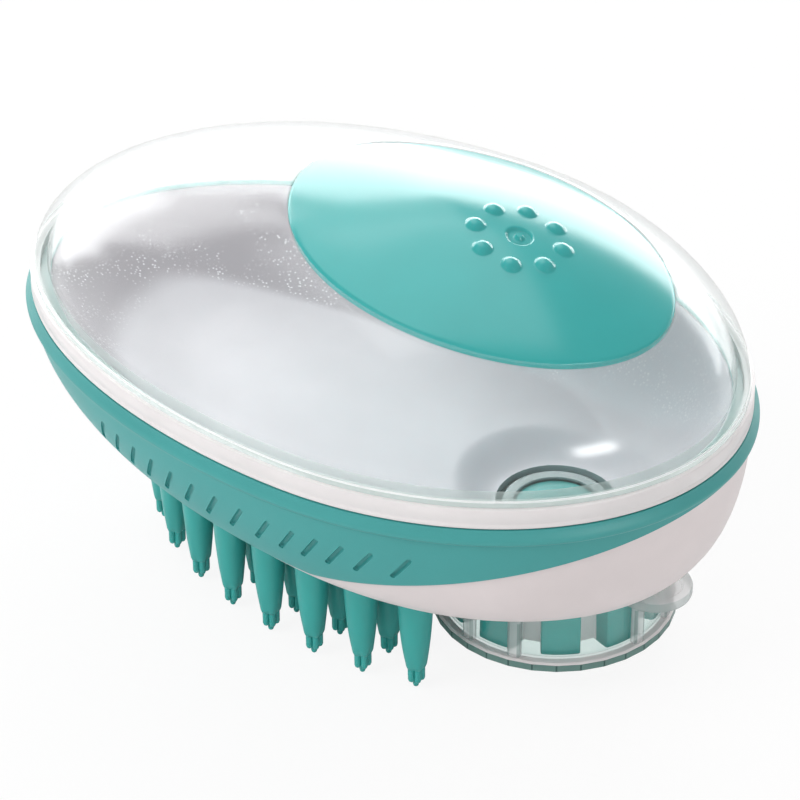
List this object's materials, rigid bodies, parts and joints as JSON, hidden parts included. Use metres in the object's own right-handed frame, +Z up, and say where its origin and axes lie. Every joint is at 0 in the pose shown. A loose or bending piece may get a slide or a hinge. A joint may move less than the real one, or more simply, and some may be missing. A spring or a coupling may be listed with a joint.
{
  "type": "handheld bath sprayer",
  "caption": "Palm-held egg-shaped pet bathing brush with a clear liquid reservoir, a soft press pad on top, a field of soft bristles and a screwed filler cap underneath.",
  "frame": {"origin": "on the floor under the middle of the body, at the height of the bristle tips", "axes": "+X towards the wide end with the filler cap, +Y to the left, +Z up through the dome"},
  "size_m": [0.1278, 0.087, 0.0725],
  "materials": {
    "clear_plastic": "clear, polished",
    "clear_cap": "clear, moulded",
    "white_plastic": "satin white",
    "teal_silicone": "soft, slightly translucent",
    "teal_grip": "fine matt",
    "screw_steel": "plain stainless"
  },
  "bodies": {
    "root": {"dome_shell": "clear_plastic", "pad_rim": "teal_silicone", "pad_web": "teal_silicone", "rim_ring": "white_plastic", "dome_gasket": "teal_silicone", "reservoir_pan": "white_plastic", "body_shell": "white_plastic", "grip_band": "teal_grip", "mat_plate": "white_plastic", "bristle_mat": "teal_silicone", "bristles_outer": "teal_silicone", "bristles_second": "teal_silicone", "bristles_inner": "teal_silicone", "outlet_valves": "teal_silicone", "plate_screws": "screw_steel", "port_neck": "white_plastic", "neck_gasket": "teal_silicone"},
    "press": {"pad_crown": "teal_silicone"},
    "cap_lift": {"cap_seal": "teal_silicone"},
    "cap": {"fill_cap": "clear_cap", "cap_stopper": "teal_silicone"}
  },
  "joints": [
    {"name": "pad_press", "type": "slide", "parent": "root", "child": "press", "axis": [0, 0, -1], "range_m": [0, 0.007], "stiffness_N_per_m": 2000, "deforming": ["pad_web"]},
    {"name": "cap_travel", "type": "slide", "parent": "root", "child": "cap_lift", "axis": [0, 0, -1], "range_m": [0, 0.0045]},
    {"name": "cap_turn", "type": "hinge", "parent": "cap_lift", "child": "cap", "pos_m": [0.0336, 0, 0.01], "axis": [0, 0, -1], "range_deg": [0, 540]}
  ],
  "couplings": [
    {"joint": "cap_turn", "follows": "cap_travel", "rad_per_m": 2094.4}
  ]
}
